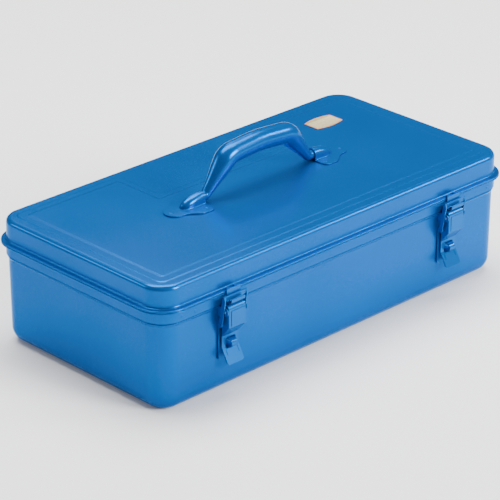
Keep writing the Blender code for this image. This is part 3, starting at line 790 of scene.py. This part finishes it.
def bracket_skin(x, edge):
    """The bracket's upper face at one station, and the dome's half width and crown there."""
    flat_top = BRACKET_LOW + BRACKET_SHEET
    inside_dome = x < DOME_END - 0.02 * MM
    half = dome_half(x) if inside_dome else 0
    crown = HANDLE_AXIS.z + DOME_RADIUS
    top = flat_top + (crown - flat_top) * dome_rise(x) if inside_dome else flat_top
    wall = max(flat_top, top - half)
    dome = []
    for k in range(DOME_STEPS + 1):
        a = math.pi * k / DOME_STEPS
        dome.append((-half * math.cos(a), wall + (top - wall) * math.sin(a)))
    root = min(DOME_ROOT, max(0, (top - flat_top) * 0.3)) if inside_dome else 0
    foot = []
    for k in range(6):
        a = math.radians(90 * k / 5)
        foot.append((-(half + root) + root * math.sin(a), flat_top + root * (1 - math.cos(a))))
    skin = [(-edge, flat_top - EDGE_EASE), (-edge + EDGE_EASE, flat_top)] + foot + dome
    skin += [(-y, z) for y, z in reversed(foot)]
    skin += [(edge - EDGE_EASE, flat_top), (edge, flat_top - EDGE_EASE)]
    return skin, half, top


def bracket_lining(edge, half, top):
    """The bracket's lower face at one station: flat, with the hollow under the dome."""
    inner_half = max(0, half - BRACKET_SHEET)
    inner_top = max(BRACKET_LOW, top - BRACKET_SHEET)
    wall = max(BRACKET_LOW, inner_top - inner_half)
    lining = [(edge, BRACKET_LOW)]
    for k in range(DOME_STEPS + 1):
        a = math.pi * k / DOME_STEPS
        at_foot = k in (0, DOME_STEPS) or not inner_half
        height = BRACKET_LOW if at_foot else wall + (inner_top - wall) * math.sin(a)
        lining.append((inner_half * math.cos(a), height))
    lining.append((-edge, BRACKET_LOW))
    return lining


def build_bracket(name, side, node):
    """The bracket as a pressed sheet, section by section along the handle's axis."""
    rings = []
    for share in [k / BRACKET_STATIONS for k in range(BRACKET_STATIONS)] + [0.9999]:
        x = BRACKET_START + (BRACKET_END - BRACKET_START) * share
        edge = bracket_edge(x)
        skin, half, top = bracket_skin(x, edge)
        section = skin + bracket_lining(edge, half, top)
        rings.append([(side * x, y, z) for y, z in section])
    mesh = loft(rings)
    for x, y in BRACKET_WELDS:
        dimple_ring(mesh, (side * x, y, BRACKET_LOW + BRACKET_SHEET), 1.5 * MM, 0.4 * MM, "z")
    made = to_object(name, mesh)
    weighted(made, 50)
    finish_piece(made, "lid", node, BLUE)


# ---- lid hinges -----------------------------------------------------------------------------------

def hinge_outline(direction, end):
    """A leaf's section in the YZ plane; direction is 1 for the lid's leaf and -1 for the body's."""
    y, z = HINGE_AXIS.y, HINGE_AXIS.z
    wall = BACK + SEAT_GAP + HINGE_SHEET / 2 + (BAND_PROUD if direction < 0 else 0)
    shoulder = z + direction * (HEM_THICKNESS + SIDE_GAP + HINGE_SHEET / 2 + SEAT_GAP)
    path = [(wall, end), (wall, shoulder + direction * 1.8 * MM)]
    path += [(wall + 1.4 * MM, shoulder + direction * 0.4 * MM), (y - HINGE_ROLL - 0.6 * MM, shoulder)]
    path += [(y - HINGE_ROLL, shoulder - direction * 0.9 * MM)]
    path += arc((y, z), HINGE_ROLL, 180, 180 + direction * 300, 28)
    return strip(path, HINGE_SHEET)


def notch_knuckles(made, side, direction):
    """Cuts away every other knuckle: the body's leaf keeps the odd ones, the lid's the even ones."""
    first = side * HINGE_X - HINGE_LENGTH / 2
    pitch = HINGE_LENGTH / KNUCKLES
    inner = LID_HIGH.y + SIDE_GAP / 2
    outer = HINGE_AXIS.y + 9 * MM
    reach = 18 * MM
    for i in range(KNUCKLES):
        if (i % 2 == 0) == (direction < 0):
            continue
        start = first + i * pitch - (SEAT_GAP if i else HINGE_SHEET)
        stop = first + (i + 1) * pitch + (SEAT_GAP if i < KNUCKLES - 1 else HINGE_SHEET)
        corners = [(start, inner), (stop, inner), (stop, outer), (start, outer)]
        cut(made, upright(corners, HINGE_AXIS.z - reach, HINGE_AXIS.z + reach))


def build_hinge(side_name, side):
    """A butt hinge: two leaves with rolled knuckles in turn along one pin."""
    for leaf, direction in (("body", -1), ("lid", 1)):
        node = f"{side_name}_hinge_{leaf}_leaf"
        low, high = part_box(node)
        outline = hinge_outline(direction, low.z if direction < 0 else high.z)
        made = to_object(f"{side_name}_hinge_{leaf}_plate", along_x(outline, low.x, high.x))
        notch_knuckles(made, side, direction)
        made.data.shade_smooth()
        bevel(made, 0.14 * MM, 2)
        finish_piece(made, leaf, node, BLUE)
    low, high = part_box(f"{side_name}_hinge_pin")
    outline = circle((HINGE_AXIS.y, HINGE_AXIS.z), HINGE_PIN_RADIUS)
    made = to_object(f"{side_name}_hinge_rod", along_x(outline, low.x, high.x))
    bevel(made, 0.3 * MM)
    finish_piece(made, "body", f"{side_name}_hinge_pin", STEEL)


# ---- draw latches ---------------------------------------------------------------------------------

def build_latch_base(name, node, shift):
    """The plate on the wall, with two ears for the lever's pin and the padlock eye."""
    base_front = BASE_BACK - BASE_SHEET
    low = BASE_LOW.z
    high = BASE_HIGH.z
    half = BASE_HALF_WIDTH
    plate = rounded([(-half, low), (half, low), (half, high), (-half, high)], [2 * MM] * 4, 6)
    made = to_object(name, loft([[(x, y, z) for x, z in plate] for y in (base_front, BASE_BACK)]), shift)
    inside = base_front + BASE_SHEET / 2
    ear = [(inside, high - 0.2 * MM), (inside, high - EAR_HEIGHT)]
    ear += arc(PIN_YZ, EAR_RADIUS, 250, 65, 20)
    for side in (-1, 1):
        ends = sorted((side * EAR_INNER, side * EAR_OUTER))
        cut(made, along_x(ear, *ends), shift, "UNION")
    middle = EYE_RADIUS - BASE_SHEET / 2
    loop = [(inside, EYE_YZ[1] - middle)] + arc(EYE_YZ, middle, 270, 90, 20)
    loop += [(inside, EYE_YZ[1] + middle)]
    cut(made, along_x(strip(loop, BASE_SHEET), -EYE_HALF_WIDTH, EYE_HALF_WIDTH), shift, "UNION")
    made.data.shade_smooth()
    bevel(made, 0.2 * MM)
    finish_piece(made, "body", node, LATCH_BLUE)


def build_latch_pin(name, node, shift):
    """The lever's pin, with a low turned head at each end."""
    low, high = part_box(node)
    half = (high.x - low.x) / 2
    shank = half - 0.25 * MM
    tip_radius = 0.9 * MM
    stations = ((-half, tip_radius), (-shank, PIN_RADIUS), (shank, PIN_RADIUS), (half, tip_radius))
    rings = [[(x, y, z) for y, z in circle(PIN_YZ, radius)] for x, radius in stations]
    made = to_object(name, loft(rings), shift)
    bevel(made, 0.12 * MM)
    finish_piece(made, "body", node, STEEL)


def lever_path():
    """The lever's middle line in the YZ plane, from behind the pin, over it, down to the finger tab."""
    z = LATCH_PIN.z
    path = arc(CURL_YZ, CURL_RADIUS, -50, 180, 30)
    corners = [(HOOD_FRONT, z - 1.0 * MM), (HOOD_FRONT, HOOD_LOW)]
    corners += [(LEVER_PLATE - 0.3 * MM, z - 21.8 * MM), tuple(PLATE_FOOT), tuple(TAB_TIP)]
    path += bent(corners, [2.2 * MM, 2.4 * MM, 3.0 * MM], 8)
    start = Vector(path[-2])
    steps = 30
    return path[:-1] + [tuple(start.lerp(TAB_TIP, k / steps)) for k in range(1, steps + 1)]


def tab_half(z):
    """Half the lever's width, which rounds off at the finger tab's lower corners."""
    reach = TAB_TIP.y + TAB_CORNER - z
    if reach <= 0:
        return LEVER_HALF_WIDTH
    return LEVER_HALF_WIDTH - TAB_CORNER + math.sqrt(max(0, TAB_CORNER ** 2 - reach ** 2))


def lever_plate():
    """The lever's bent sheet, with its long edges eased."""
    path = lever_path()
    outer = parallel(path, LEVER_SHEET / 2)
    inner = parallel(path, -LEVER_SHEET / 2)
    ease_size = 0.3 * MM
    share = ease_size / LEVER_SHEET
    sections = []
    for (_, z), a, b in zip(path, outer, inner):
        half = tab_half(z)
        section = []
        for side, p, q in ((-1, Vector(a), Vector(b)), (1, Vector(b), Vector(a))):
            section.append((side * (half - ease_size), *p))
            section.append((side * half, *p.lerp(q, share)))
            section.append((side * half, *q.lerp(p, share)))
            section.append((side * (half - ease_size), *q))
        sections.append(section)
    return loft(sections)


def lever_cheek():
    """A side flange's outline in the YZ plane: along the hood and slope, and round the loop's pivot."""
    y, z = PIN_YZ
    cheek = [(HOOD_FRONT, z - 2.0 * MM), (HOOD_FRONT, HOOD_LOW), (FRONT - 2.0 * MM, z - 21.4 * MM)]
    cheek += arc(PIVOT_YZ, 2.2 * MM, -50, 60, 10)
    return cheek + [(y + 1.4 * MM, z - 4.8 * MM)]


def hood_panel():
    """The raised panel on the hood's face."""
    panel = [(-6.3, -12.2), (8.2, -12.2), (8.2, 0.7), (-6.3, 0.7)]
    panel = rounded([(x * MM, LATCH_PIN.z + rise * MM) for x, rise in panel], [0.8 * MM] * 4, 4)
    face = HOOD_FRONT - LEVER_SHEET / 2
    return loft([[(x, y, z) for x, z in panel] for y in (face - 0.4 * MM, face + 0.3 * MM)])


def eye_slot():
    """The slot in the lever that passes over the padlock eye."""
    width = SLOT_HALF_WIDTH
    low = EYE_YZ[1] - SLOT_HALF_HEIGHT
    high = EYE_YZ[1] + SLOT_HALF_HEIGHT
    slot = rounded([(-width, low), (width, low), (width, high), (-width, high)], [1.6 * MM] * 4, 6)
    return loft([[(x, y, z) for x, z in slot] for y in (FRONT - 9 * MM, FRONT)])


def tab_groove():
    """A short groove's outline on the finger tab, in the YZ plane."""
    slope = (TAB_TIP - PLATE_FOOT).normalized()
    normal = Vector((slope.y, -slope.x))
    start = PLATE_FOOT + slope * 2.4 * MM
    end = start + slope * 4.6 * MM
    low = normal * 0.3 * MM
    high = normal * 2 * MM
    return [tuple(point) for point in (start + low, end + low, end + high, start + high)]


def build_lever(name, node, shift, body):
    """The lever: a bent plate with a curl over the pin, side flanges, a slot and a grooved finger tab."""
    made = to_object(name, lever_plate())
    for side in (-1, 1):
        ends = sorted((side * (LEVER_HALF_WIDTH - LEVER_SHEET), side * (LEVER_HALF_WIDTH - 0.02 * MM)))
        cut(made, along_x(lever_cheek(), *ends), operation="UNION")
    cut(made, hood_panel(), operation="UNION")
    cut(made, eye_slot())
    for side in (-1, 1):
        ends = sorted((side * 5.4 * MM, side * 6.2 * MM))
        cut(made, along_x(tab_groove(), *ends))
    made.data.shade_smooth()
    made.data.transform(Matrix.Translation((shift, 0, 0)))
    bevel(made, 0.12 * MM, 2)
    finish_piece(made, body, node, LATCH_BLUE)


def build_bail(name, node, shift, body):
    """The draw loop: a cross strip in the keeper's hook, two flat arms and their stubs."""
    top = CROSS_TOP
    bottom = top - CROSS_HEIGHT
    front = CROSS_MIDDLE - BAIL_SHEET / 2
    back = CROSS_MIDDLE + BAIL_SHEET / 2
    cross = [(front, bottom), (back, bottom), (back, top), (front, top)]
    made = to_object(name, along_x(cross, -BAIL_OUTER, BAIL_OUTER), shift)
    half = BAIL_DEPTH / 2
    arm = [(CROSS_MIDDLE - half, top - half - 2.0 * MM)]
    arm += arc(PIVOT_YZ, half + 0.2 * MM, 200, 380, 20)
    arm += [(CROSS_MIDDLE + half, top - half), (back, top), (front, top)]
    inner = LEVER_HALF_WIDTH - LEVER_SHEET - SEAT_GAP
    for side in (-1, 1):
        ends = sorted((side * BAIL_INNER, side * BAIL_OUTER))
        cut(made, along_x(arm, *ends), shift, "UNION")
        ends = sorted((side * inner, side * (BAIL_OUTER + 0.3 * MM)))
        cut(made, along_x(circle(PIVOT_YZ, BAIL_STUB_RADIUS, 24), *ends), shift, "UNION")
    made.data.shade_smooth()
    bevel(made, 0.22 * MM)
    finish_piece(made, body, node, LATCH_BLUE)


def build_keeper(name, node, shift):
    """The hook on the lid's hem, held by two claws."""
    strap = KEEPER_STRAP
    plate = -LID_HIGH.y - SEAT_GAP - strap / 2
    radius = (KEEPER_HOOK + strap) / 2
    floor = KEEPER_FLOOR + radius
    path = [(plate, HEM_TOP + SEAT_GAP + strap)] + arc((plate - radius, floor), radius, 0, -180, 20)
    path += [(plate - 2 * radius, KEEPER_LIP)]
    hook = along_x(strip(path, strap), -KEEPER_HALF_WIDTH, KEEPER_HALF_WIDTH)
    made = to_object(name, hook, shift)
    root = FRONT - HEM_ROOT - SEAT_GAP
    low = HEM_TOP + SEAT_GAP
    claw = [(plate, low), (root, low), (root, low + strap * 0.9), (plate, low + strap * 0.9)]
    for side in (-1, 1):
        centre = side * CLAW_OFFSET
        cut(made, along_x(claw, centre - CLAW_HALF_WIDTH, centre + CLAW_HALF_WIDTH), shift, "UNION")
    made.data.shade_smooth()
    bevel(made, 0.2 * MM)
    finish_piece(made, "lid", node, LATCH_BLUE)


def build_latch(side_name, side):
    """The five pieces of one draw latch."""
    shift = side * LATCH_X
    build_latch_base(f"{side_name}_base_plate", f"{side_name}_latch_base", shift)
    build_latch_pin(f"{side_name}_pivot_rod", f"{side_name}_latch_pin", shift)
    build_lever(f"{side_name}_lever_plate", f"{side_name}_latch_lever", shift, f"{side_name}_lever")
    build_bail(f"{side_name}_draw_loop", f"{side_name}_latch_bail", shift, f"{side_name}_bail")
    build_keeper(f"{side_name}_hook_plate", f"{side_name}_latch_keeper", shift)


# ---- studio ---------------------------------------------------------------------------------------

def build_floor():
    """A wide pale floor of matt paper."""
    half = 9
    low = CAD_BOX[0].z
    corners = [(-half, -half), (half, -half), (half, half), (-half, half)]
    floor = to_object("studio_floor", upright(corners, low - 20 * MM, low))
    made, nodes, links, shader = new_material("floor_paper")
    coords = nodes.new("ShaderNodeTexCoord")
    grain = noise(nodes, links, coords, 3, 2)
    shade = (0.90, 0.90, 0.90, 1)
    white = (0.92, 0.92, 0.92, 1)
    tone = ramp(nodes, links, grain.outputs["Fac"], (0.3, shade), (0.7, white))
    links.new(tone.outputs["Color"], shader.inputs["Base Color"])
    shader.inputs["Roughness"].default_value = 0.9
    floor.data.materials.append(made)


def soft_light(name, place, target, size, power):
    """A rectangular white light aimed at a point."""
    data = bpy.data.lights.new(name, "AREA")
    data.shape = "RECTANGLE"
    data.size = size[0]
    data.size_y = size[1]
    data.energy = power
    made = bpy.data.objects.new(name, data)
    made.location = place
    made.rotation_euler = (Vector(target) - Vector(place)).to_track_quat("-Z", "Y").to_euler()
    bpy.context.scene.collection.objects.link(made)


def build_lights():
    """A front key, a soft top, three weaker lights for the edges and sheen, and a dim surround."""
    soft_light("key", (0.9, -2.7, 1.35), (0, 0, 0.05), (1.2, 0.9), 140)
    soft_light("grip", (2.3, -1.7, 1.75), (0, 0, 0.12), (0.9, 0.5), 42)
    soft_light("edge", (-2.0, 1.9, 1.3), (0, 0, 0.05), (1.3, 0.5), 20)
    soft_light("top", (0.25, 0.5, 2.2), (0, 0, 0.05), (2.4, 1.4), 120)
    soft_light("sheen", (0.75, 1.15, 1.25), (-0.1, -0.05, 0.1), (0.6, 0.4), 4)
    world = bpy.data.worlds.new("studio")
    world.use_nodes = True
    world.node_tree.nodes["Background"].inputs["Color"].default_value = (1, 1, 1, 1)
    world.node_tree.nodes["Background"].inputs["Strength"].default_value = 0.24
    bpy.context.scene.world = world


def build_camera():
    """A long lens from the front left, 25 degrees up."""
    azimuth = math.radians(-44.3746)
    elevation = math.radians(24.9966)
    roll = math.radians(0.1653)
    distance = 2.1161
    slide = Vector((-5.51 * MM, -6.92 * MM))
    target = Vector((0, 0, HEIGHT - 51.7 * MM))
    back = Vector((
        math.sin(azimuth) * math.cos(elevation),
        -math.cos(azimuth) * math.cos(elevation),
        math.sin(elevation),
    ))
    right = (-back).cross(Vector((0, 0, 1))).normalized()
    up = right.cross(-back)
    turned_right = right * math.cos(roll) + up * math.sin(roll)
    turned_up = up * math.cos(roll) - right * math.sin(roll)
    data = bpy.data.cameras.new("photo_view")
    data.lens = 190.46
    data.sensor_width = 36
    data.clip_end = 60
    made = bpy.data.objects.new("photo_view", data)
    place = target + back * distance + turned_right * slide.x + turned_up * slide.y
    axes = (turned_right, turned_up, back, place)
    rows = [[axis[row] for axis in axes] for row in range(3)] + [[0, 0, 0, 1]]
    made.matrix_world = Matrix(rows)
    bpy.context.scene.collection.objects.link(made)
    bpy.context.scene.camera = made


build_body()
build_rim()
build_lid()
build_label()
build_handle()
for side_name, side in (("left", -1), ("right", 1)):
    build_bracket(f"{side_name}_handle_dome", side, f"{side_name}_handle_bracket")
    build_hinge(side_name, side)
    build_latch(side_name, side)
build_floor()
build_lights()
build_camera()
